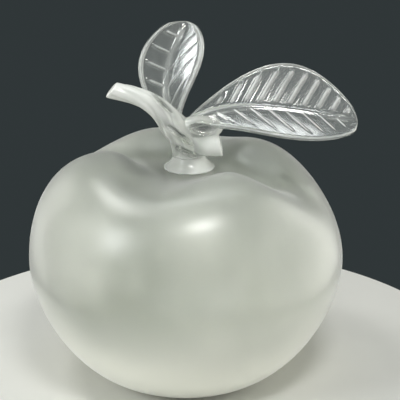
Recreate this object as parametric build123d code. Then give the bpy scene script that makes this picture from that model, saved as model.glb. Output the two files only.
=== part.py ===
from build123d import *
from math import cos, pi, radians, sin
import os

# A hollow frosted-glass apple with a lift-out glass stopper that carries a twig and two leaves.
# Millimetres, +Z up. The origin is the middle of the flat foot, and the front faces -Y.

# Apple: hollow blown glass
belly_radius = 56.0
belly_height = 42.7       # of the widest ring, above the foot
foot_radius = 28.0
foot_angle = 12.0         # degrees of the quarter under the belly that the ground foot takes off
lower_roundness = 1.2     # power of the curve under the belly, 1 is a plain ellipse
crest_radius = 28.0       # of the ridge round the dimple, at a lobe
valley_spread = 4.8       # the ridge runs this much further out in a valley
lobe_angles = [-69.0, 31.0, 126.0, 202.0]   # degrees from the front, towards +X
lobe_rises = [8.8, 5.9, 4.9, 6.0]           # of each lobe's crest, above the seat
valley_depths = [5.0, 10.9, 4.0, 7.2]       # of the valley after each lobe, below the crests
wall = 5.0
base_thickness = 9.0

# Dimple, with its flat ground seat, and ground neck
dimple_radius = 22.0      # the apple is parted here, round the neck
neck_offset = 1.2         # the neck stands this far towards +X from the apple's axis
seat_height = 75.6
seat_margin = 1.6         # flat left free round the collar
bore_radius = 6.2         # at the seat
bore_taper = 0.06         # loss of radius for each millimetre of depth
neck_depth = 17.0
neck_wall = 3.8

# Stopper: ground plug with a flared collar that rests on the seat
plug_length = 16.0
ground_gap = 0.25         # between the plug's taper and the bore
collar_lip = 2.7          # cover of the collar over the bore's edge
collar_edge = 0.8         # height of the collar's upright edge
collar_height = 5.4
waist_radius = 5.6
flare_out = 0.9           # the flare's bend stands this far out from the waist
flare_rise = 1.4          # and this far above the edge

# Branch: places from the middle of the collar's top, each with the branch's radius there
branch_points = [
    ((0, 0, 0), waist_radius), ((-1.7, -0.5, 5.0), 5.3), ((-5.2, -1.5, 10.5), 4.8),
    ((-11.0, -2.5, 17.4), 3.7), ((-18.2, -3.0, 21.4), 3.1), ((-26.3, -3.0, 23.5), 3.0),
]
fork = 2                  # the branch's point where the stalk ends and the twig begins
twig_cut = (-0.78, 0, 0.62)   # the way that the twig's cut end faces
stub_root = (-0.2, 0, 3.9)
stub_end = (10.5, -4.4, 3.4)
stub_root_radius = 4.3
stub_end_radius = 3.8

# Leaves: root and tip from the middle of the collar's top
leaf_thickness = 2.6
root_thickness = 6.5
root_half_width = 2.2
tip_half_width = 0.5
leaf_steps = 9

# A half's outline is two powers: where along the leaf it is widest, and how blunt its ends are.
spreading_root = (-3.0, 0, 8.1)
spreading_tip = (58.2, -2.0, 12.7)
spreading_bow = (0, 0, 7.5)
spreading_bow_power = 0.65
spreading_upper_width = 17.3
spreading_upper_tilt = 52.0   # degrees from level, backwards
spreading_upper_outline = (1.6, 0.75)
spreading_lower_width = 13.1
spreading_lower_tilt = 35.0   # degrees from level, forwards
spreading_lower_outline = (1.42, 0.6)

upright_root = (-4.5, -2.0, 7.6)
upright_tip = (-0.9, 9.8, 44.7)
upright_bow = (-5.3, 0, 0)
upright_bow_power = 0.95
upright_left_width = 10.5
upright_left_fold = 15.0      # degrees towards the front
upright_left_outline = (1.6, 0.45)
upright_right_width = 11.7
upright_right_fold = 18.0
upright_right_outline = (1.55, 0.68)

collar_radius = bore_radius + collar_lip
seat_radius = collar_radius + seat_margin
neck_radius = bore_radius + neck_wall
stopper_place = Pos(neck_offset, 0, seat_height)
branch_place = Pos(neck_offset, 0, seat_height + collar_height)


def ridge(angle):
    """Height and radius of the ridge round the dimple, over the lobes and through the valleys."""
    starts = [a - lobe_angles[0] for a in lobe_angles] + [360]
    turn = (angle - lobe_angles[0]) % 360
    k = max(i for i in range(len(lobe_angles)) if starts[i] <= turn)
    along = (turn - starts[k]) / (starts[k + 1] - starts[k])
    ease = along * along * (3 - 2 * along)
    following = lobe_rises[(k + 1) % len(lobe_rises)]
    valley = (1 - cos(2 * pi * along)) / 2
    rise = lobe_rises[k] + (following - lobe_rises[k]) * ease - valley_depths[k] * valley
    return seat_height + rise, crest_radius + valley_spread * valley


def apple_form(inset, floor, top, top_radius):
    """The lobed apple, drawn in by inset, from its floor up and over to the disc in its dimple."""
    radius = belly_radius - inset

    def under(t, angle):
        start = radians(foot_angle)
        turn = start + (pi / 2 - start) * t
        rise = 1 - (cos(turn) / cos(start)) ** lower_roundness
        first = sin(start) ** lower_roundness
        spread = (sin(turn) ** lower_roundness - first) / (1 - first)
        r = foot_radius + (radius - foot_radius) * spread
        z = floor + (belly_height - floor) * rise
        return r, z, 0

    def shoulder(t, angle):
        height, ridge_radius = ridge(angle)
        r = ridge_radius + (radius - ridge_radius) * cos(t * pi / 2)
        z = belly_height + (height - inset - belly_height) * sin(t * pi / 2)
        return r, z, 0

    def dimple(t, angle):
        height, ridge_radius = ridge(angle)
        r = ridge_radius + (top_radius - ridge_radius) * t
        z = top + (height - inset - top) * (1 + cos(pi * t)) / 2
        return r, z, neck_offset * t

    stages = [(under, 5), (shoulder, 4), (dimple, 4)]
    levels = [(curve, i / count) for curve, count in stages for i in range(count)] + [(dimple, 1)]
    rings = []
    for curve, t in levels:
        points = []
        for angle in range(0, 360, 10):
            r, z, shift = curve(t, angle)
            points.append((shift + r * sin(radians(angle)), -r * cos(radians(angle)), z))
        rings.append(Wire([Edge.make_spline(points, periodic=True)]))
    return Solid.make_loft(rings)


def taper_below_seat(depth, gap):
    """The neck's taper, from the seat down to a depth, drawn in by a gap."""
    top_radius = bore_radius - gap
    return Pos(0, 0, -depth / 2) * Cone(top_radius - bore_taper * depth, top_radius, depth)


def make_apple():
    """The blown apple, and its dimple with the seat and the ground neck, which is the same glass."""
    outside = apple_form(0, 0, seat_height, seat_radius)
    hollow = apple_form(wall, base_thickness, seat_height - wall, (bore_radius + neck_radius) / 2)
    neck = stopper_place * Pos(0, 0, -neck_depth / 2) * Cylinder(neck_radius, neck_depth)
    bore = stopper_place * taper_below_seat(neck_depth, 0)
    glass = outside - (hollow - neck) - bore
    core = stopper_place * Cylinder(dimple_radius, 3 * neck_depth)
    return {"apple_body": glass - core, "apple_dimple": glass & core}


def make_stopper_plug():
    plug = taper_below_seat(plug_length, ground_gap)
    edge = Line((collar_radius, 0), (collar_radius, collar_edge))
    bend = (waist_radius + flare_out, collar_edge + flare_rise)
    flare = Bezier(edge @ 1, bend, (waist_radius, collar_height))
    rest = Polyline(flare @ 1, (0, collar_height), (0, 0), edge @ 0)
    collar = revolve(Plane.XZ * make_face([edge, flare, rest]), Axis.Z)
    return stopper_place * (plug + collar)


def branch_sections():
    """Discs along the branch: level on the collar, then square to its course, then its cut end."""
    places = [Vector(place) for place, radius in branch_points]
    courses = [Vector(0, 0, 1)] + [b - a for a, b in zip(places, places[2:])] + [Vector(twig_cut)]
    return [Plane(p, z_dir=c) * Circle(r) for p, c, (_, r) in zip(places, courses, branch_points)]


def leaf(root, tip, bow, bow_power, halves):
    """A folded leaf. Each half is its direction from the midrib, its width and its outline."""
    root, tip = Vector(root), Vector(tip)
    chord = tip - root
    axis = chord.normalized()

    def square(direction):
        return Vector(direction) - axis * axis.dot(Vector(direction))

    sides = [square(half[0]).normalized() for half in halves]
    back = (sides[0] - sides[1]).cross(axis).normalized()
    sections = []
    for i in range(leaf_steps + 1):
        s = (1 - cos(pi * i / leaf_steps)) / 2
        midrib = root + chord * s + square(bow) * sin(pi * s ** bow_power)
        depth = back * (leaf_thickness + (root_thickness - leaf_thickness) * (1 - s) ** 6)
        edges = []
        ends = root_half_width * (1 - s) ** 8 + tip_half_width * s ** 8
        for side, (direction, width, (lean, bluntness)) in zip(sides, halves):
            edges.append(midrib + side * (width * abs(sin(pi * s ** lean)) ** bluntness + ends))
        front = [edges[0], midrib, edges[1]]
        sections.append(Wire.make_polygon(front + [p + depth for p in reversed(front)]))
    return Solid.make_loft(sections)


def make_spreading_leaf():
    back, front = radians(spreading_upper_tilt), radians(spreading_lower_tilt)
    upper = ((0, cos(back), sin(back)), spreading_upper_width, spreading_upper_outline)
    lower = ((0, -cos(front), -sin(front)), spreading_lower_width, spreading_lower_outline)
    return leaf(spreading_root, spreading_tip, spreading_bow, spreading_bow_power, [upper, lower])


def make_upright_leaf():
    fold_left, fold_right = radians(upright_left_fold), radians(upright_right_fold)
    left = ((-cos(fold_left), -sin(fold_left), 0), upright_left_width, upright_left_outline)
    right = ((cos(fold_right), -sin(fold_right), 0), upright_right_width, upright_right_outline)
    return leaf(upright_root, upright_tip, upright_bow, upright_bow_power, [left, right])


def make_stub():
    course = Vector(stub_end) - Vector(stub_root)
    ends = [(stub_root, stub_root_radius), (stub_end, stub_end_radius)]
    return loft([Plane(place, z_dir=course) * Circle(radius) for place, radius in ends])


def make_stopper():
    """The plug with its branch, leaves and stub, each cut to the ones that it grows from."""
    plug = make_stopper_plug()
    sections = [branch_place * section for section in branch_sections()]
    stalk = loft(sections[:fork + 1])
    twig = loft(sections[fork:])
    spreading = branch_place * make_spreading_leaf() - stalk - twig
    upright = branch_place * make_upright_leaf() - stalk - twig - spreading
    stub = branch_place * make_stub() - plug - stalk - spreading
    return {
        "stopper_plug": plug, "stalk": stalk, "twig": twig, "twig_stub": stub,
        "spreading_leaf": spreading, "upright_leaf": upright,
    }


parts = {**make_apple(), **make_stopper()}

os.makedirs("parts", exist_ok=True)
for name, shape in parts.items():
    print(name, len(shape.solids()), round(shape.volume, 1))
    export_step(shape, f"parts/{name}.step")
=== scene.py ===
from math import cos, pi, radians, sin

import bmesh
import bpy
from mathutils import Matrix, Vector


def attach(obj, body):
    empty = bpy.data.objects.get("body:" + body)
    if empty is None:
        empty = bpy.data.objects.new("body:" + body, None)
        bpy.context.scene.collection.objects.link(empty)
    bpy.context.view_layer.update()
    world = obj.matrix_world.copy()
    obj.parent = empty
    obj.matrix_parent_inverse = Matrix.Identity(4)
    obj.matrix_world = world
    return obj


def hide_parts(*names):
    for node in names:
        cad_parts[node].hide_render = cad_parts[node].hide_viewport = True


# A frosted-glass apple with a lift-out glass stopper, which carries a twig, a stub and two veined leaves.
# Blender works in metres: a size in millimetres is multiplied by MM before Blender gets it.

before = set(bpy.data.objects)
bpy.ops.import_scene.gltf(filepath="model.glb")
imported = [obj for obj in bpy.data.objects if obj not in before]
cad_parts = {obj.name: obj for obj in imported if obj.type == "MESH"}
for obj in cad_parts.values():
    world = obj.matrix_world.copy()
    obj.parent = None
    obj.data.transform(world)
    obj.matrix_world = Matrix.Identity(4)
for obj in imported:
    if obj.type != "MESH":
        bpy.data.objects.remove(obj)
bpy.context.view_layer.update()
scene = bpy.context.scene
MM = 0.001

# Sizes that several pieces share, in millimetres

neck_offset = 1.2         # of the neck's axis from the apple's, towards +X
seat_height = 75.6
collar_top = Vector((neck_offset, 0, 81.0))
weld = 0.0001             # points of one form that are nearer than this become one
sliver = 0.004            # edges shorter than this are taken out of a joined piece

# Branch, stub and hollows, in millimetres from the middle of the collar's top

branch_points = [         # each with the branch's radius there
    ((0.2, 0.1, -2.6), 5.6), ((-1.7, -0.5, 5.0), 5.3), ((-5.2, -1.5, 10.5), 4.8),
    ((-11.0, -2.5, 17.4), 3.7), ((-18.2, -3.0, 21.4), 3.1), ((-26.3, -3.0, 23.5), 3.0),
]
twig_cut = Vector((-0.78, 0, 0.62))       # the way that the twig's cut end faces
twig_start = Vector((-10.5, -2.4, 16.9))  # where the branch turns milky
twig_course = Vector((-0.8, 0, 0.5))
stub_root = Vector((-0.2, 0, 3.9))
stub_end = Vector((11.2, -4.7, 4.0))
stub_rings = [(-0.2, 4.6), (0.5, 4.15), (0.9, 3.65), (0.985, 3.5), (1.0, 3.2), (1.0, 1.6)]  # share, radius
stub_steps = 64
stub_shrink = 0.96        # of the radii, as the hot stub draws in
stub_squareness = 0.4     # of the cut end, where 0 is round
corner_power = 4          # of the squarish outline, where 2 is round
stub_slant = 0.36         # the cut runs this much further at the front, for each millimetre across
stub_undercut = 0.2       # and at the bottom, for each millimetre down
cut_onset = 4             # power of the stub's length by which the cut's slant sets in
leaf_root = ((4.2, -1.6, 10.0), (7.6, 4.4, 4.0), 4.0)
hollows = [               # pressed into the stalk: middle, half sizes, degrees down to the right
    ((4.8, -6.4, 10.3), (6.0, 2.3, 2.3), 6.0), ((-2.6, -6.6, 7.8), (6.9, 1.8, 1.2), 40.0),
    ((-0.7, -6.2, 1.9), (5.4, 1.9, 1.0), 26.0), ((-9.3, -5.4, 19.4), (6.2, 1.5, 0.8), 46.0),
]


class Field:
    """A number that varies over a form or a surface; arithmetic on it adds nodes to its tree."""

    def __init__(self, tree, socket):
        self.tree = tree
        self.socket = socket

    def math(self, operation, *others):
        node = self.tree.nodes.new("ShaderNodeMath")
        node.operation = operation
        for place, value in zip(node.inputs, (self,) + others):
            feed(self.tree, place, value)
        return Field(self.tree, node.outputs[0])

    def __add__(self, other):
        return self.math("ADD", other)

    def __sub__(self, other):
        return self.math("SUBTRACT", other)

    def __rsub__(self, other):
        return (self * -1) + other

    def __mul__(self, other):
        return self.math("MULTIPLY", other)

    def __truediv__(self, other):
        return self.math("DIVIDE", other)

    def __pow__(self, other):
        return self.math("POWER", other)

    def sin(self):
        return self.math("SINE")

    def cos(self):
        return self.math("COSINE")

    def abs(self):
        return self.math("ABSOLUTE")

    def sqrt(self):
        return self.math("SQRT")

    def least(self, other):
        return self.math("MINIMUM", other)

    def most(self, other):
        return self.math("MAXIMUM", other)

    def held(self):
        """Kept between 0 and 1."""
        return self.least(1.0).most(0.0)

    def bump(self):
        """1 where the number is 0, falling away to 0 on both sides."""
        return (self * self * -1).math("EXPONENT")

    def ramp(self, start, end):
        """0 up to start, 1 from end, eased between them."""
        node = self.tree.nodes.new("ShaderNodeMapRange")
        node.interpolation_type = "SMOOTHSTEP"
        for place, value in zip(node.inputs[:3], (self, start, end)):
            feed(self.tree, place, value)
        return Field(self.tree, node.outputs[0])

    def rounded(self):
        """A quarter circle's rise, from 0 at 0 to 1 at 1 and beyond."""
        short = 1.0 - self.held()
        return (0.99999 - short * short).most(0.0).sqrt()

    def along(self, direction):
        """This much of a vector."""
        node = self.tree.nodes.new("ShaderNodeVectorMath")
        node.operation = "SCALE"
        feed(self.tree, node.inputs[0], direction)
        feed(self.tree, node.inputs["Scale"], self)
        return Place(self.tree, node.outputs[0])


class Place(Field):
    """A vector that varies over a form or a surface."""

    def with_vector(self, operation, other):
        node = self.tree.nodes.new("ShaderNodeVectorMath")
        node.operation = operation
        feed(self.tree, node.inputs[0], self)
        feed(self.tree, node.inputs[1], other)
        return node

    def __add__(self, other):
        return Place(self.tree, self.with_vector("ADD", other).outputs["Vector"])

    def dot(self, other):
        return Field(self.tree, self.with_vector("DOT_PRODUCT", other).outputs["Value"])

    def cross(self, other):
        return Place(self.tree, self.with_vector("CROSS_PRODUCT", other).outputs["Vector"])

    def axes(self, wanted):
        """The vector's numbers on the axes that are named."""
        node = self.tree.nodes.new("ShaderNodeSeparateXYZ")
        self.tree.links.new(self.socket, node.inputs[0])
        return [Field(self.tree, node.outputs[axis]) for axis in wanted]


def feed(tree, place, value):
    if isinstance(value, Field):
        tree.links.new(value.socket, place)
    else:
        place.default_value = value


class Former:
    """A node tree that bends a grid into a closed form. Its sizes are named inputs."""

    def __init__(self, name, sizes, follows_curve=False):
        self.tree = bpy.data.node_groups.new(name, "GeometryNodeTree")
        ports = self.tree.interface
        if follows_curve:
            ports.new_socket("Line", in_out="INPUT", socket_type="NodeSocketGeometry")
        kinds = {int: "NodeSocketInt", float: "NodeSocketFloat", tuple: "NodeSocketVector"}
        for label, value in sizes.items():
            port = ports.new_socket(label, in_out="INPUT", socket_type=kinds[type(value)])
            port.default_value = value
        ports.new_socket("Material", in_out="INPUT", socket_type="NodeSocketMaterial")
        ports.new_socket("Glass", in_out="OUTPUT", socket_type="NodeSocketGeometry")
        self.given = self.tree.nodes.new("NodeGroupInput")

    def size(self, label):
        socket = self.given.outputs[label]
        kind = Place if socket.type == "VECTOR" else Field
        return kind(self.tree, socket)

    def add(self, kind, **values):
        node = self.tree.nodes.new("GeometryNode" + kind)
        for label, value in values.items():
            feed(self.tree, node.inputs[label.replace("_", " ")], value)
        return node

    def pass_on(self, kind, form, **values):
        """Adds a node that the form goes through."""
        node = self.add(kind, Geometry=form, **values)
        return Field(self.tree, node.outputs[0])

    def grid(self):
        """A unit grid, with the two numbers that say where on it a point is."""
        steps = {"Vertices_X": self.size("Steps along"), "Vertices_Y": self.size("Steps round")}
        node = self.add("MeshGrid", **steps)
        along, turn = Place(self.tree, node.outputs["UV Map"]).axes("XY")
        return Field(self.tree, node.outputs["Mesh"]), along, turn

    def finish(self, form, place, relief=None):
        """Puts the grid's points in place, welds its seam and ends, and gives it its material.
        Relief is how far a point is raised, kept for the material."""
        if relief is not None:
            form = self.pass_on("StoreNamedAttribute", form, Name="relief", Value=relief)
        form = self.pass_on("SetPosition", form, Position=place)
        form = self.pass_on("MergeByDistance", form, Distance=weld * MM)
        form = self.pass_on("SetShadeSmooth", form)
        form = self.pass_on("RealizeInstances", form)
        form = self.pass_on("SetMaterial", form, Material=self.size("Material"))
        out = self.tree.nodes.new("NodeGroupOutput")
        self.tree.links.new(form.socket, out.inputs[0])

    def make(self, name, sizes, carrier=None):
        """The form with these sizes, as a plain mesh object. The carrier is the curve that it follows."""
        if carrier is None:
            carrier = bpy.data.objects.new(name, bpy.data.meshes.new(name))
        scene.collection.objects.link(carrier)
        modifier = carrier.modifiers.new(name, "NODES")
        modifier.node_group = self.tree
        for port in self.tree.interface.items_tree:
            if port.in_out == "INPUT" and port.name in sizes:
                modifier[port.identifier] = sizes[port.name]
        mesh = evaluated_mesh(carrier)
        carrier.modifiers.remove(modifier)
        bpy.data.objects.remove(carrier)
        form = bmesh.new()
        form.from_mesh(mesh)
        bmesh.ops.recalc_face_normals(form, faces=form.faces)
        form.to_mesh(mesh)
        form.free()
        return new_object(name, mesh)


# Meshes and objects

def evaluated_mesh(made):
    """A plain mesh of an object with its modifiers."""
    state = bpy.context.evaluated_depsgraph_get()
    return bpy.data.meshes.new_from_object(made.evaluated_get(state))


def new_object(name, mesh):
    made = bpy.data.objects.new(name, mesh)
    mesh.name = name
    scene.collection.objects.link(made)
    return made


def object_from(form, name, finish):
    """A smooth object from a form, which is used up."""
    mesh = bpy.data.meshes.new(name)
    form.to_mesh(mesh)
    form.free()
    mesh.shade_smooth()
    mesh.materials.append(finish)
    return new_object(name, mesh)


def close_rings(form, rings):
    """Faces between each ring of points and the next, and over the first and the last."""
    for ring, following in zip(rings, rings[1:]):
        for k in range(len(ring)):
            after = (k + 1) % len(ring)
            form.faces.new((ring[k], ring[after], following[after], following[k]))
    form.faces.new(rings[0])
    form.faces.new(rings[-1])
    bmesh.ops.recalc_face_normals(form, faces=form.faces)


# Finishes

noise_range = (0.3, 0.7)  # nearly all of a noise's values lie in here
glass_ior = 1.5


def shades(amount, stops):
    """The colour that belongs to a number, between two stops."""
    node = amount.tree.nodes.new("ShaderNodeValToRGB")
    for element, (at, colour) in zip(node.color_ramp.elements, stops):
        element.position = at
        element.color = (*colour, 1)
    amount.tree.links.new(amount.socket, node.inputs["Fac"])
    return node.outputs["Color"]


class Finish:
    """A surface of shader nodes, whose patterns lie on the object. Settings are the same all over it."""

    def __init__(self, name, settings):
        self.material = bpy.data.materials.new(name)
        self.material.use_nodes = True
        self.tree = self.material.node_tree
        self.shader = self.tree.nodes["Principled BSDF"]
        self.place = Place(self.tree, self.tree.nodes.new("ShaderNodeTexCoord").outputs["Object"])
        for label, value in settings.items():
            self.shader.inputs[label].default_value = value

    def noise(self, scale, detail, place=None):
        """Soft clouds; scale is in waves to the metre."""
        node = self.tree.nodes.new("ShaderNodeTexNoise")
        node.inputs["Scale"].default_value = scale
        node.inputs["Detail"].default_value = detail
        feed(self.tree, node.inputs["Vector"], self.place if place is None else place)
        return Field(self.tree, node.outputs["Fac"])

    def drive(self, label, amount):
        """Lets a number that varies set one of the shader's inputs."""
        self.tree.links.new(amount.socket, self.shader.inputs[label])

    def tint(self, amount, stops):
        self.tree.links.new(shades(amount, stops), self.shader.inputs["Base Color"])

    def cloud(self, scale, colours):
        """Colour that drifts between two shades."""
        self.tint(self.noise(scale, 3.0), zip(noise_range, colours))

    def mottle(self, label, scale, low, high):
        """Lets a fine noise set one of the shader's inputs, between low and high."""
        node = self.tree.nodes.new("ShaderNodeMapRange")
        node.inputs["From Min"].default_value = noise_range[0]
        node.inputs["From Max"].default_value = noise_range[1]
        node.inputs["To Min"].default_value = low
        node.inputs["To Max"].default_value = high
        self.tree.links.new(self.noise(scale, 4.0).socket, node.inputs["Value"])
        self.tree.links.new(node.outputs["Result"], self.shader.inputs[label])

    def ripple(self, scale, height):
        """The fine unevenness of hand-worked glass; height is in millimetres."""
        node = self.tree.nodes.new("ShaderNodeBump")
        node.inputs["Strength"].default_value = 1.0
        node.inputs["Distance"].default_value = height * MM
        self.tree.links.new(self.noise(scale, 2.0).socket, node.inputs["Height"])
        self.tree.links.new(node.outputs["Normal"], self.shader.inputs["Normal"])


def frosted_finish():
    """Etched white at the foot, and thinner frost in clouds from there to the dimple. Where the frost is
    thin, the colour also holds painted shade: it turns greyer and bluer there.
    """
    thinning = (6.0 * MM, 48.0 * MM)          # heights over which the frost thins
    dimple_rise = (60.0 * MM, 72.0 * MM)      # heights, and radii round the neck, that bound the dimple
    dimple_reach = (16.0 * MM, 32.0 * MM)
    cloud_shift = (-40.0 * MM, 0.0, 60.0 * MM)
    cloud_depth = 0.95
    least_thin = 0.23
    dimple_thin = 0.18
    sheen = {"Sheen Weight": 0.6, "Sheen Roughness": 0.4}
    coat = {"Coat Weight": 0.6, "Coat Roughness": 0.3}
    finish = Finish("frosted_glass", {"IOR": glass_ior, **sheen, **coat})
    x, y, z = finish.place.axes("XYZ")
    beside = x - neck_offset * MM
    from_neck = (beside * beside + y * y).sqrt()
    dimple = z.ramp(*dimple_rise) * (1.0 - from_neck.ramp(*dimple_reach))
    clouds = finish.noise(scale=26.0, detail=2.0, place=finish.place + cloud_shift)
    thin_frost_and_painted_shade = z.ramp(*thinning) * (clouds * cloud_depth + least_thin) + dimple * dimple_thin
    finish.drive("Transmission Weight", thin_frost_and_painted_shade)
    # Painted shade: the colour turns a little greyer and bluer where the frost is thin, standing in for the
    # dark seen through and reflected there, and is palest and warmest at the foot; the thinning itself is
    # real and sets the transmission.
    finish.tint(thin_frost_and_painted_shade, [(0.15, (0.90, 0.91, 0.81)), (0.75, (0.865, 0.895, 0.83))])
    finish.mottle("Roughness", scale=72.0, low=0.29, high=0.37)
    finish.ripple(scale=140.0, height=0.05)
    return finish.material


def leaf_finish():
    """Clear, with satin veins, midrib and rim."""
    blade_clear = 0.9
    satin_milk = 0.68
    blade_roughness = 0.09
    uneven_roughness = 0.08
    satin_roughness = 0.1
    finish = Finish("clear_glass", {"IOR": glass_ior, "Coat Weight": 1.0, "Coat Roughness": 0.12})
    kept = finish.tree.nodes.new("ShaderNodeAttribute")
    kept.attribute_name = "relief"
    relief = Field(finish.tree, kept.outputs["Fac"])
    uneven = finish.noise(scale=300.0, detail=2.0)
    satin = (relief * relief * (uneven + 0.5)).held()
    finish.drive("Transmission Weight", blade_clear - satin * satin_milk)
    finish.drive("Roughness", satin * satin_roughness + uneven * uneven_roughness + blade_roughness)
    finish.cloud(scale=90.0, colours=[(0.88, 0.92, 0.90), (0.95, 0.97, 0.95)])
    finish.ripple(scale=110.0, height=0.02)
    return finish.material


def branch_finish():
    """Half clear, clearer in the stalk's hollows, and milky towards the cut ends of the twig and the stub."""
    twig_onset = (-7.0 * MM, 6.0 * MM)        # along the twig's course, from its start
    stub_rise = 0.5                           # the stub's milk begins further out the higher it is
    stub_onset = [(neck_offset + at) * MM for at in (-40.0, -35.5)]
    collar_heights = (80.0 * MM, 82.0 * MM)
    hollow_spread = 1.3                       # a hollow's clear patch is this much taller than it
    stalk_clear = 0.54
    hollow_clear = 0.38                       # more than the stalk
    collar_share = 0.1                        # of what a hollow has
    milk_depth = 0.32
    streak_depth = 0.3
    clear_roughness = 0.05
    milk_roughness = 0.21
    finish = Finish("branch_glass", {"IOR": glass_ior})
    x, z = finish.place.axes("XZ")
    start = (twig_start + collar_top) * MM
    twig = ((x - start.x) * twig_course.x + (z - start.z) * twig_course.z).ramp(*twig_onset)
    stub = (x - z * stub_rise).ramp(*stub_onset)
    collar = 1.0 - z.ramp(*collar_heights)
    clearness = None
    for middle, radii, tilt in hollows:
        across = x - (middle[0] + collar_top.x) * MM
        up = z - (middle[2] + collar_top.z) * MM
        turn = radians(tilt)
        along = (across * cos(turn) - up * sin(turn)) / (radii[0] * MM)
        beside = (across * sin(turn) + up * cos(turn)) / (radii[2] * hollow_spread * MM)
        patch = along.bump() * beside.bump()
        clearness = patch if clearness is None else clearness.most(patch)
    streak = finish.noise(scale=90.0, detail=2.0)
    milk = (twig.most(stub) + (streak - 0.5) * streak_depth).held() * (1.0 - clearness)
    clearer = clearness.most(collar * collar_share) * hollow_clear
    finish.drive("Transmission Weight", stalk_clear - milk * milk_depth + clearer)
    finish.drive("Roughness", milk * milk_roughness + clear_roughness)
    finish.cloud(scale=120.0, colours=[(0.88, 0.91, 0.87), (0.95, 0.96, 0.93)])
    finish.ripple(scale=120.0, height=0.02)
    return finish.material


frosted_glass = frosted_finish()
clear_glass = leaf_finish()
branch_glass = branch_finish()


# Leaves: a folded blade with a rounded rim, a midrib and raised veins on its front face

def for_half(half, sizes):
    return {half + " " + label: value for label, value in sizes.items()}


half_sizes = {
    "width": 1.0, "lean": 1.0, "bluntness": 1.0, "curl": 0.0,
    "veins": 6.0, "first vein": 0.5, "veins from": 0.1, "veins to": 0.95,
    "vein slant": 0.5, "vein height": 0.5 * MM, "vein share": 0.1, "vein satin": 1.0,
    "vein gap": 2.0 * MM, "vein taper": 3.0 * MM, "vein start": 1.5 * MM,
}
leaf_sizes = {
    "Steps along": 300, "Steps round": 155,
    "Root": (0, 0, 0), "Chord": (0, 0, 0), "Length": 1.0, "Bow": (0, 0, 0), "Bow power": 1.0,
    "Left side": (0, 0, 0), "Right side": (0, 0, 0), "Back": (0, 0, 0), "Left shear": 0.0,
    "Thickness": 2.6 * MM, "Root thickness": 6.5 * MM,
    "Root half width": 2.2 * MM, "Tip half width": 0.5 * MM, "Recess": 0.55 * MM,
    "Rim height": 0.6 * MM, "Rim width": 0.7 * MM, "Rim inset": 0.9 * MM,
    "Midrib height": 1.0 * MM, "Midrib width": 1.0 * MM,
    **for_half("Left", half_sizes), **for_half("Right", half_sizes),
}
front_share = 0.75        # of the steps round a leaf, for the veined front
edge_crowding = 0.4       # draws the steps round a leaf towards its edges
end_crowding = 0.04       # draws the steps along a leaf towards its ends
fold_softness = 0.004
end_rounding = 1.6        # millimetres
vein_foot = 0.3           # millimetres from the midrib's line to where a vein may begin
vein_fade = 0.01          # of the leaf's length, where the veins begin and end
midrib_end = (0.9, 0.99)  # of the leaf's length, where the midrib fades
edge_roundness = 0.45     # of the thickness
rim_satin = 0.7
midrib_satin = 0.75


def leaf_former():
    former = Former("veined_leaf", leaf_sizes)
    size = former.size
    form, along, turn = former.grid()
    front = (turn / front_share).least(1.0)
    back = ((turn - front_share) / (1.0 - front_share)).most(0.0)
    # From 1 at the right edge to -1 at the left over the front, and over the back to 1 again
    steady = 2.0 - 2.0 * edge_crowding
    courses = [(part * pi).cos() * edge_crowding - part * steady for part in (front, back)]
    across = courses[0] - courses[1] + 1.0
    veined_face = 1.0 - turn.math("GREATER_THAN", front_share + 0.0001)
    face = veined_face * 2.0 - 1.0
    right = (across + (across * across + fold_softness).sqrt()) * 0.5
    left = right - across
    even = along - (along * (2 * pi)).sin() * end_crowding
    s = even + left * size("Left shear") * even * (1.0 - even) * 4.0
    length = size("Length")
    rounding = end_rounding * MM
    ends = ((1.0 - s) * length / rounding).rounded() * (s * length / rounding).rounded()
    stump = (1.0 - s) ** 8.0 * size("Root half width") + s ** 8.0 * size("Tip half width")
    raised = along * 0.0
    relief = along * 0.0
    out = {}
    for half, share in (("Left", left), ("Right", right)):
        of_half = {label: size(half + " " + label) for label in half_sizes}
        swell = (s ** of_half["lean"] * pi).sin().abs() ** of_half["bluntness"]
        reach = (swell * of_half["width"] + stump) * ends
        out[half] = share * reach
        root_place = s - out[half] * of_half["vein slant"] / length
        slanted = (root_place - of_half["first vein"]) * of_half["veins"]
        ridge = ((slanted + 0.5).math("FRACT") - 0.5) / of_half["vein share"]
        gap = of_half["vein gap"]
        mask = out[half].ramp(vein_foot * MM, of_half["vein start"])
        mask = mask * (reach - out[half]).ramp(gap, gap + of_half["vein taper"])
        mask = mask * root_place.ramp(of_half["veins from"] - vein_fade, of_half["veins from"])
        mask = mask * (1.0 - root_place.ramp(of_half["veins to"], of_half["veins to"] + vein_fade))
        veins = ridge.bump() * mask * veined_face
        relief = relief.most(veins * of_half["vein satin"])
        raised = raised + veins * of_half["vein height"]
    away = out["Left"] + out["Right"]
    inside = (1.0 - across.abs()) * away / (left + right)
    rim = ((inside - size("Rim inset")) / size("Rim width")).bump()
    midrib = (away / size("Midrib width")).bump() * (1.0 - s.ramp(*midrib_end))
    raised = raised.most(rim * size("Rim height")).most(midrib * size("Midrib height"))
    thick = (1.0 - s) ** 6.0 * (size("Root thickness") - size("Thickness")) + size("Thickness")
    round_off = (inside / (thick * edge_roundness)).rounded()
    half_thick = (thick * 0.5 - size("Recess") + raised) * round_off * ends
    place = s.along(size("Chord")) + size("Root")
    place = place + (s ** size("Bow power") * pi).sin().along(size("Bow"))
    place = place + out["Left"].along(size("Left side"))
    place = place + out["Right"].along(size("Right side"))
    place = place + (thick * 0.5 - half_thick * face).along(size("Back"))
    curled = [out[half] ** 2.0 * size(half + " curl") for half in ("Left", "Right")]
    place = place + ((curled[0] + curled[1]) * -1.0).along(size("Back"))
    former.finish(form, place, relief.most(rim * rim_satin).most(midrib * midrib_satin))
    return former


veined_leaf = leaf_former()


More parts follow.
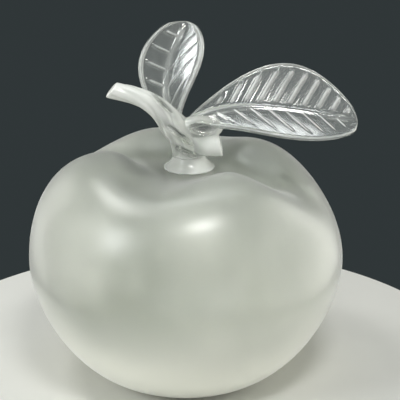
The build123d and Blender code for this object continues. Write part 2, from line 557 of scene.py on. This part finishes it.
def leaf(name, root, tip, bow, bow_power, directions, sizes):
    """A leaf, in millimetres from the collar's top. Directions lead from its midrib to its two edges."""
    chord = (Vector(tip) - Vector(root)) * MM
    axis = chord.normalized()

    def square(direction):
        return Vector(direction) - axis * axis.dot(Vector(direction))

    left, right = (square(direction).normalized() for direction in directions)
    course = {
        "Root": (Vector(root) + collar_top) * MM, "Chord": chord, "Length": chord.length,
        "Bow": square(bow) * MM, "Bow power": bow_power,
        "Left side": left, "Right side": right, "Back": (left - right).cross(axis).normalized(),
        "Material": clear_glass,
    }
    return veined_leaf.make(name, {**course, **sizes})


def make_spreading_leaf():
    upper_tilt = radians(52)    # from level, backwards
    lower_tilt = radians(35)    # from level, forwards
    upper = {
        "width": 18.0 * MM, "lean": 1.6, "bluntness": 0.75, "curl": -2.0,
        "veins": 12.5, "first vein": 0.12, "veins from": 0.1, "veins to": 0.93,
        "vein slant": 0.55, "vein height": 1.0 * MM, "vein share": 0.17, "vein satin": 0.78,
        "vein gap": 1.2 * MM, "vein taper": 3.5 * MM, "vein start": 3.0 * MM,
    }
    lower = {
        "width": 13.1 * MM, "lean": 1.42, "bluntness": 0.6, "curl": 5.0,
        "veins": 10.5, "first vein": 0.2, "veins from": 0.12, "veins to": 0.9,
        "vein slant": 0.95, "vein height": 0.14 * MM, "vein share": 0.085, "vein gap": 1.8 * MM,
    }
    whole = {
        "Left shear": 0.155, "Tip half width": 2.0 * MM,
        "Rim inset": 0.55 * MM, "Rim width": 0.5 * MM, "Rim height": 0.5 * MM,
    }
    return leaf(
        "spreading_leaf_glass", root=(-3.0, 0, 8.1), tip=(58.2, -2.0, 12.7), bow=(0, 0, 7.5), bow_power=0.65,
        directions=[(0, cos(upper_tilt), sin(upper_tilt)), (0, -cos(lower_tilt), -sin(lower_tilt))],
        sizes={**for_half("Left", upper), **for_half("Right", lower), **whole})


def make_upright_leaf():
    left_fold = radians(15)     # towards the front
    right_fold = radians(18)
    left = {
        "width": 10.5 * MM, "lean": 1.6, "bluntness": 0.45,
        "veins": 6.6, "first vein": 0.4, "veins from": 0.3, "veins to": 0.92,
        "vein slant": 0.3, "vein height": 1.0 * MM, "vein share": 0.1, "vein satin": 0.8,
        "vein gap": 1.6 * MM, "vein taper": 3.0 * MM, "vein start": 1.0 * MM,
    }
    right = {
        "width": 11.7 * MM, "lean": 1.55, "bluntness": 0.68, "curl": 7.3,
        "veins": 6.2, "first vein": 0.36, "veins from": 0.2, "veins to": 0.75,
        "vein slant": 1.5, "vein height": 0.2 * MM, "vein share": 0.04, "vein gap": 1.5 * MM,
    }
    whole = {"Steps along": 180, "Steps round": 135, "Left shear": 0.077, "Tip half width": 1.6 * MM}
    return leaf(
        "upright_leaf_glass", root=(-4.5, -2.0, 7.6), tip=(-0.9, 9.8, 44.7), bow=(-5.3, 0, 0), bow_power=0.95,
        directions=[(-cos(left_fold), -sin(left_fold), 0), (cos(right_fold), -sin(right_fold), 0)],
        sizes={**for_half("Left", left), **for_half("Right", right), **whole})


# Branch: stalk and twig as one twisted rod on the branch's line, with its cut end

branch_sizes = {
    "Steps along": 190, "Steps round": 160, "Strands": 5.0, "Turns": 0.5, "Turn start": 0.1,
    "Groove depth": 0.14, "Twig depth": 0.1, "Groove sharpness": 3.0,
    "Foot share": 0.02, "Cap share": 0.05, "Cap bulge": 0.4 * MM, "Cut": tuple(twig_cut.normalized()),
}
groove_onset = (0.02, 0.12)   # shares of the branch's length
twig_onset = (0.45, 0.8)
cut_reach = (0.85, 1.0)


def branch_former():
    former = Former("twisted_branch", branch_sizes, follows_curve=True)
    size = former.size
    form, along, turn = former.grid()
    body = (along / (1.0 - size("Cap share"))).least(1.0)
    cap = ((along - 1.0 + size("Cap share")) / size("Cap share")).most(0.0)
    foot = (along / size("Foot share")).least(1.0)
    line = Field(former.tree, former.given.outputs["Line"])
    line_radius = Field(former.tree, former.add("InputRadius").outputs[0])
    sample = former.add("SampleCurve", Curves=line, Value=line_radius, Factor=body)
    sample.mode = "FACTOR"
    middle, course, normal = (
        Place(former.tree, sample.outputs[label]) for label in ("Position", "Tangent", "Normal"))
    angle = turn * (2 * pi)
    twisted = (angle - (body * size("Turns") + size("Turn start")) * (2 * pi)) * size("Strands")
    groove = (twisted.cos() * 0.5 + 0.5) ** size("Groove sharpness")
    deeper = size("Groove depth") - size("Twig depth")
    depth = (1.0 - body.ramp(*twig_onset)) * deeper + size("Twig depth")
    shape = 1.0 - groove * depth * body.ramp(*groove_onset)
    r = Field(former.tree, sample.outputs["Value"]) * shape * (1.0 - cap * cap) * foot
    side = angle.cos().along(normal) + angle.sin().along(course.cross(normal))
    cut = size("Cut")
    lift = side.dot(cut) / course.dot(cut) * r * -1.0 * body.ramp(*cut_reach)
    bulge = (1.0 - (1.0 - cap) * (1.0 - cap)) * size("Cap bulge")
    former.finish(form, middle + r.along(side) + (lift + bulge).along(course))
    return former


def branch_line():
    """A smooth curve through the branch's points, with their radii."""
    line = bpy.data.curves.new("branch_line", "CURVE")
    line.dimensions = "3D"
    line.resolution_u = 24
    spline = line.splines.new("BEZIER")
    spline.bezier_points.add(len(branch_points) - 1)
    for knot, (at, radius) in zip(spline.bezier_points, branch_points):
        knot.co = (Vector(at) + collar_top) * MM
        knot.radius = radius * MM
        knot.handle_left_type = "AUTO"
        knot.handle_right_type = "AUTO"
    return bpy.data.objects.new("branch_line", line)


# Stub, swellings and plug

def make_stub():
    """A block of milky glass with a slanted, squarish cut end."""
    course = stub_end - stub_root
    axis = course.normalized()
    side = axis.cross(Vector((0, 0, 1))).normalized()
    up = side.cross(axis)
    form = bmesh.new()
    rings = []
    for share, radius in stub_rings:
        ring = []
        for k in range(stub_steps):
            a = 2 * pi * k / stub_steps
            corner = (abs(cos(a)) ** corner_power + abs(sin(a)) ** corner_power) ** (-1 / corner_power)
            flat = 1 + (corner - 1) * stub_squareness * share
            across = radius * flat * cos(a)
            rise = radius * flat * sin(a)
            slant = max(share, 0) ** cut_onset * (stub_slant * across - stub_undercut * rise)
            middle = stub_root + course * share + axis * slant
            at = middle + (side * across + up * rise) * stub_shrink
            ring.append(form.verts.new((at + collar_top) * MM))
        rings.append(ring)
    close_rings(form, rings)
    return object_from(form, "stub_glass", branch_glass)


def swelling(name, middle, radii, tilt):
    """A rounded swelling, in millimetres from the collar's top; tilt is degrees down to the right."""
    place = Matrix.Translation((Vector(middle) + collar_top) * MM) @ Matrix.Rotation(radians(tilt), 4, "Y")
    stretch = Matrix.Diagonal((*radii, 1))
    form = bmesh.new()
    bmesh.ops.create_uvsphere(form, u_segments=64, v_segments=40, radius=MM, matrix=place @ stretch)
    return object_from(form, name, branch_glass)


plug_steps = 160
waist_ring = {"radius": 5.35, "top": 81.0, "height": 0.7, "bulge": 0.45, "steps": 8}
waist_inside = [(4.0, 81.0), (5.3, 81.0)]   # radius, height
flare = [(5.6, 80.2), (6.5, 77.8), (8.6, 76.6)]
flare_steps = 24
collar_edge = {"radius": 8.6, "top": 76.6, "height": 0.95, "bulge": 0.3, "steps": 12}
collar_underside = [(8.4, 75.64), (5.95, 75.64)]
plug_taper = [(5.9, 75.2), (5.05, 60.4), (4.9, 60.0), (4.4, 59.6)]


def bead(radius, top, height, bulge, steps):
    """Radii and heights of a rounded edge, from its top down."""
    return [(radius + bulge * sin(pi * k / steps), top - height * k / steps) for k in range(1, steps)]


def plug_profile():
    """Ring round the waist, flared collar with a rounded edge, then the plug's taper."""
    profile = waist_inside + bead(**waist_ring)
    for k in range(flare_steps + 1):
        t = k / flare_steps
        weights = ((1 - t) ** 2, 2 * t * (1 - t), t * t)
        radius = sum(weight * at[0] for weight, at in zip(weights, flare))
        height = sum(weight * at[1] for weight, at in zip(weights, flare))
        profile.append((radius, height))
    return profile + bead(**collar_edge) + collar_underside + plug_taper


def make_plug():
    """The plug with its collar, turned on the neck's axis."""
    form = bmesh.new()
    rings = []
    for radius, height in plug_profile():
        ring = []
        for k in range(plug_steps):
            a = 2 * pi * k / plug_steps
            at = Vector((collar_top.x + radius * cos(a), radius * sin(a), height))
            ring.append(form.verts.new(at * MM))
        rings.append(ring)
    close_rings(form, rings)
    return object_from(form, "plug_glass", branch_glass)


# Joining

def combine(name, whole, others, way):
    """One closed piece of glass: the first with the others joined to it or taken out of it."""
    whole.name = name
    for other in others:
        join = whole.modifiers.new("join", "BOOLEAN")
        join.operation = way
        join.solver = "MANIFOLD"
        join.material_mode = "TRANSFER"
        join.object = other
        mesh = evaluated_mesh(whole)
        whole.modifiers.remove(join)
        whole.data = mesh
        bpy.data.objects.remove(other)
    whole.data.name = name
    return whole


def soften(piece, grain, passes):
    """Melts a piece's joins together, as hot glass does."""
    melt = piece.modifiers.new("melt", "REMESH")
    melt.mode = "VOXEL"
    melt.voxel_size = grain
    smooth = piece.modifiers.new("smooth", "SMOOTH")
    smooth.factor = 0.5
    smooth.iterations = passes
    mesh = evaluated_mesh(piece)
    piece.modifiers.clear()
    piece.data = mesh
    mesh.materials.clear()
    mesh.materials.append(branch_glass)
    mesh.shade_smooth()
    return piece


def mend(piece):
    """Takes out the slivers that joining leaves: short edges, and faces that lie double."""
    form = bmesh.new()
    form.from_mesh(piece.data)
    bmesh.ops.triangulate(form, faces=form.faces)
    bmesh.ops.dissolve_degenerate(form, dist=sliver * MM, edges=form.edges)
    by_corners = {}
    for face in form.faces:
        by_corners.setdefault(frozenset(face.verts), []).append(face)
    doubled = [face for faces in by_corners.values() if len(faces) > 1 for face in faces]
    bmesh.ops.delete(form, geom=doubled, context="FACES")
    loose = [point for point in form.verts if not point.link_faces]
    bmesh.ops.delete(form, geom=loose, context="VERTS")
    form.to_mesh(piece.data)
    form.free()
    return piece


# Stopper: branch, stub and leaf root melted together, then the leaves and the plug joined on

melt_grain = 0.28         # millimetres
melt_passes = 6
stopper_crease = 42       # degrees; sharper edges stay sharp

spreading_leaf = make_spreading_leaf()
upright_leaf = make_upright_leaf()
branch = branch_former().make("branch_glass", {"Material": branch_glass}, branch_line())
core = combine("core", branch, [make_stub(), swelling("leaf_root", *leaf_root)], "UNION")
core = combine("core", core, [swelling("hollow", *hollow) for hollow in hollows], "DIFFERENCE")
core = soften(core, melt_grain * MM, melt_passes)
growth = combine("stopper_growth", core, [upright_leaf, spreading_leaf, make_plug()], "UNION")
growth = mend(growth)
growth.data.set_sharp_from_angle(angle=radians(stopper_crease))
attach(growth, "stopper")
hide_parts("stopper_plug", "stalk", "twig", "twig_stub", "upright_leaf", "spreading_leaf")


# Apple: the outer form less the hollow and the neck's tapered bore

lobe_angles = [-69.0, 31.0, 126.0, 202.0, 291.0]   # degrees from the front, round to the first lobe again
lobe_rises = [8.8, 5.9, 4.9, 6.0, 8.8]             # millimetres above the seat
valley_depths = [5.0, 10.9, 4.0, 7.2]              # millimetres below the crests, after each lobe
apple_sizes = {
    "Steps along": 200, "Steps round": 217, "Inset": 0.0, "Floor": 0.0,
    "Top": seat_height * MM, "Top radius": 10.5 * MM, "Seat height": seat_height * MM,
    "Belly radius": 56.0 * MM, "Belly height": 42.7 * MM, "Lower roundness": 1.2,
    "Foot radius": 28.0 * MM, "Foot angle": radians(12),
    "Crest radius": 28.0 * MM, "Valley spread": 4.8 * MM, "Neck offset": neck_offset * MM,
}
hollow_sizes = {
    "Steps along": 120, "Steps round": 145, "Inset": 5.0 * MM, "Floor": 9.0 * MM,
    "Top": 70.6 * MM, "Top radius": 8.1 * MM,
}
# Where foot, underside, shoulder, dimple and seat begin and end along the form, from the foot's middle
apple_stages = [(0.0, 0.04), (0.04, 0.36), (0.36, 0.7), (0.7, 0.96), (0.96, 1.0)]
apple_crease = 32         # degrees; sharper edges stay sharp


def apple_former():
    former = Former("lobed_apple", apple_sizes)
    size = former.size
    form, along, turn = former.grid()
    height = size("Seat height") + lobe_rises[0] * MM
    valleys = None
    for k, depth in enumerate(valley_depths):
        start, end = ((a - lobe_angles[0]) / 360 for a in lobe_angles[k:k + 2])
        part = ((turn - start) / (end - start)).held()
        valley = (part * (2 * pi)).cos() * -0.5 + 0.5
        valleys = valley if valleys is None else valleys + valley
        change = (lobe_rises[k + 1] - lobe_rises[k]) * MM
        height = height + part.ramp(0.0, 1.0) * change - valley * (depth * MM)
    height = height - size("Inset")
    ridge = valleys * size("Valley spread") + size("Crest radius")
    radius = size("Belly radius") - size("Inset")
    foot, under, shoulder, dimple, seat = (((along - a) / (b - a)).held() for a, b in apple_stages)
    first = size("Foot angle")
    power = size("Lower roundness")
    bend = (first * -1.0 + pi / 2) * under + first
    rise = 1.0 - (bend.cos() / first.cos()).most(0.0) ** power
    least = first.sin() ** power
    spread = (bend.sin() ** power - least) / (1.0 - least)
    r = foot * size("Foot radius") + spread * (radius - size("Foot radius"))
    r = r + (ridge - radius) * (1.0 - (shoulder * (pi / 2)).cos())
    r = r + (size("Top radius") - ridge) * dimple - size("Top radius") * seat
    z = size("Floor") + rise * (size("Belly height") - size("Floor"))
    z = z + (height - size("Belly height")) * (shoulder * (pi / 2)).sin()
    z = z + (size("Top") - height) * ((dimple * pi).cos() * -0.5 + 0.5)
    angle = turn * (2 * pi) + radians(lobe_angles[0])
    place = (r * angle.sin() + dimple * size("Neck offset")).along((1, 0, 0))
    place = place + (r * angle.cos()).along((0, -1, 0)) + z.along((0, 0, 1))
    former.finish(form, place)
    return former


def neck_block(name, low, high, low_radius, high_radius):
    """A tapered round block on the neck's axis, between two heights in millimetres."""
    place = Matrix.Translation(Vector((neck_offset, 0, (low + high) / 2)) * MM)
    form = bmesh.new()
    bmesh.ops.create_cone(
        form, cap_ends=True, segments=128, radius1=low_radius * MM, radius2=high_radius * MM,
        depth=(high - low) * MM, matrix=place)
    return object_from(form, name, frosted_glass)


lobed_apple = apple_former()
outside = lobed_apple.make("apple_outside", {"Material": frosted_glass})
inside = lobed_apple.make("apple_hollow", {"Material": frosted_glass, **hollow_sizes})
neck = neck_block("neck_block", low=58.6, high=75.0, low_radius=10.0, high_radius=10.0)
bore = neck_block("bore_block", low=55.6, high=80.6, low_radius=5.0, high_radius=6.5)
inside = combine("apple_hollow", inside, [neck], "DIFFERENCE")
apple = combine("apple_glass", outside, [inside, bore], "DIFFERENCE")
apple.data.shade_smooth()
apple.data.set_sharp_from_angle(angle=radians(apple_crease))
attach(apple, "bottle")
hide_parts("apple_body", "apple_dimple")


# Floor, room and light, in metres

def floor_disc(radius, height, colours):
    form = bmesh.new()
    place = Matrix.Translation((0, 0, height))
    bmesh.ops.create_circle(form, cap_ends=True, segments=128, radius=radius, matrix=place)
    finish = Finish("floor", {"Roughness": 0.8})
    finish.cloud(scale=30.0, colours=colours)
    object_from(form, "floor", finish.material)


def dark_room():
    """Dark behind the glass; dim round the camera, and paler low down."""
    world = bpy.data.worlds.new("dark_room")
    scene.world = world
    world.use_nodes = True
    tree = world.node_tree
    y, z = Place(tree, tree.nodes.new("ShaderNodeTexCoord").outputs["Generated"]).axes("YZ")
    room = shades(z * 0.5 + 0.5, [(0.3, (0.36, 0.36, 0.33)), (0.6, (0.12, 0.13, 0.13))])
    towards_camera = 1.0 - y.ramp(-0.25, 0.35)
    mix = tree.nodes.new("ShaderNodeMix")
    mix.data_type = "RGBA"
    behind, ahead = (socket for socket in mix.inputs if socket.type == "RGBA")
    mixed = next(socket for socket in mix.outputs if socket.type == "RGBA")
    behind.default_value = (0.030, 0.038, 0.040, 1)
    tree.links.new(room, ahead)
    tree.links.new(towards_camera.socket, mix.inputs["Factor"])
    tree.links.new(mixed, tree.nodes["Background"].inputs["Color"])


def lamp(name, place, aim, width, height, power, colour=(1, 1, 1)):
    """A soft lamp of this width and height; without an aim it faces straight down."""
    light = bpy.data.lights.new(name, "AREA")
    light.shape = "RECTANGLE"
    light.size = width
    light.size_y = height
    light.energy = power
    light.color = colour
    made = bpy.data.objects.new(name, light)
    made.location = place
    if aim:
        made.rotation_euler = (Vector(aim) - Vector(place)).to_track_quat("-Z", "Y").to_euler()
    scene.collection.objects.link(made)


floor_disc(radius=0.11, height=-0.0004, colours=[(0.7178, 0.7178, 0.6887), (0.74, 0.74, 0.71)])
dark_room()
cool = (0.97, 1.0, 1.0)
pale = (1.0, 1.0, 0.97)
warm = (1.0, 0.99, 0.93)
lamp("skylight", (0.03, 0.16, 0.68), None, 0.38, 0.08, 0.54, cool)
lamp("left_skylight", (-0.27, 0.02, 0.62), (0, 0, 0.06), 0.20, 0.16, 1.05, pale)
lamp("front_skylight", (0.09, -0.34, 0.61), (0, 0, 0.06), 0.16, 0.10, 1.6, pale)
lamp("window", (-0.515, -0.375, 0.425), (0, 0, 0.10), 0.13, 0.28, 1.3, cool)
lamp("left_side", (-0.65, 0.18, 0.10), (0, 0.18, 0.06), 1.25, 0.7, 3.1, warm)
lamp("right_side", (0.65, 0.18, 0.10), (0, 0.18, 0.06), 1.25, 0.7, 4.4, warm)
lamp("low_fill", (0.0, -0.62, -0.06), (0, 0, 0.03), 1.0, 0.25, 0.85)

# Camera, at the photograph's viewing angle

camera_place = (0.005027, -0.41169, 0.21334)
camera_tilt = 20          # degrees down from level
camera = bpy.data.objects.new("camera", bpy.data.cameras.new("camera"))
camera.data.lens = 111.28
camera.data.sensor_width = 36.0
camera.location = camera_place
camera.rotation_euler = (radians(90 - camera_tilt), 0, 0)
scene.collection.objects.link(camera)
scene.camera = camera
scene.view_settings.view_transform = "Standard"
